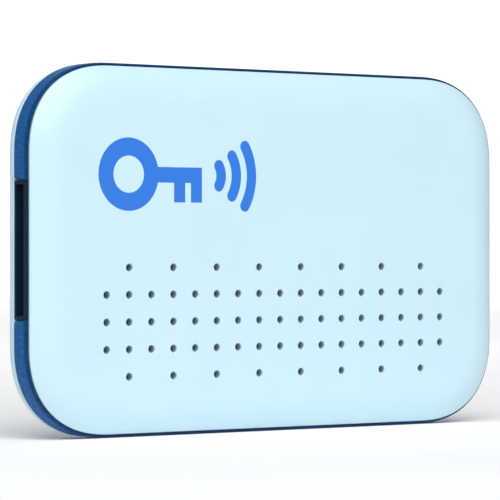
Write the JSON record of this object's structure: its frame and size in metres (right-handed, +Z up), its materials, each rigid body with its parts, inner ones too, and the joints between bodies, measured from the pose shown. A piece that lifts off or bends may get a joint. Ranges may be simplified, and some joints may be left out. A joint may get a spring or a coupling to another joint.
{
  "type": "bluetooth tracker tag",
  "caption": "Pillow-shaped finder tag with a pressable pale front over a blue side band, a speaker grille, a lanyard slot, and a snap-off back over a coin cell.",
  "frame": {"origin": "centre of the tag's overall box, halfway through its thickness", "axes": "+X along the long side, to the right as the front face is read; +Y out of the back face; +Z up the front face"},
  "size_m": [0.0506, 0.006, 0.0312],
  "materials": {
    "cover_plastic": "satin, very pale blue moulded plastic with a faint fine grain",
    "band_plastic": "satin blue plastic with a fine metallic grain",
    "chassis_plastic": "dark navy moulded plastic, finely textured",
    "mesh_cloth": "fine woven dust mesh, grey",
    "pad_foam": "thin dark foam film",
    "pin_steel": "turned stainless steel",
    "cell_steel": "nickel-plated steel with fine circular brushing",
    "gasket_plastic": "dark polypropylene",
    "cell_filling": "pressed black powder and grey metal",
    "board_laminate": "dark green solder mask over glass laminate",
    "copper": "gold-flashed copper",
    "chip_black": "matt black moulded package with a corner dot",
    "crystal_can": "seam-welded metal can",
    "ferrite": "dark grey pressed ferrite",
    "capacitor_body": "tan ceramic with tinned ends",
    "resistor_body": "black glaze with tinned ends",
    "screw_steel": "zinc-plated steel",
    "switch_plastic": "black moulded plastic",
    "plunger_plastic": "off-white moulded plastic",
    "buzzer_brass": "rolled brass sheet",
    "buzzer_ceramic": "silvered piezo ceramic",
    "ring_rubber": "soft black rubber",
    "contact_metal": "nickel-flashed phosphor bronze"
  },
  "bodies": {
    "housing": {"mid_frame": "band_plastic", "chassis": "chassis_plastic", "lanyard_pin": "pin_steel", "circuit_board": "board_laminate", "antenna_trace": "copper", "radio_chip": "chip_black", "flash_chip": "chip_black", "driver_chip": "chip_black", "main_crystal": "crystal_can", "clock_crystal": "crystal_can", "boost_inductor": "ferrite", "capacitors": "capacitor_body", "resistors": "resistor_body", "test_pads": "copper", "board_screws": "screw_steel", "switch_body": "switch_plastic", "buzzer_plate": "buzzer_brass", "buzzer_ceramic": "buzzer_ceramic", "buzzer_ring": "ring_rubber", "buzzer_contacts": "contact_metal", "negative_contact": "contact_metal", "positive_contact": "contact_metal"},
    "press_face": {"front_cover": "cover_plastic", "speaker_mesh": "mesh_cloth"},
    "plunger": {"switch_plunger": "plunger_plastic"},
    "rear": {"back_cover": "cover_plastic", "battery_pad": "pad_foam"},
    "coin_cell": {"battery_can": "cell_steel", "battery_gasket": "gasket_plastic", "battery_cap": "cell_steel", "battery_filling": "cell_filling"}
  },
  "joints": [
    {"name": "face_press", "type": "slide", "parent": "housing", "child": "press_face", "axis": [0, 1, 0], "range_m": [0, 0.0003], "stiffness_N_per_m": 1500},
    {"name": "plunger_press", "type": "slide", "parent": "housing", "child": "plunger", "axis": [0, 1, 0], "range_m": [0, 0.0003]},
    {"name": "back_cover_off", "type": "slide", "parent": "housing", "child": "rear", "axis": [0, 1, 0], "range_m": [0, 0.014]},
    {"name": "cell_out", "type": "slide", "parent": "housing", "child": "coin_cell", "axis": [0, 1, 0], "range_m": [0, 0.007]}
  ],
  "couplings": [
    {"joint": "plunger_press", "follows": "face_press", "ratio": 1},
    {"joint": "cell_out", "follows": "back_cover_off", "ratio": 0.5}
  ]
}
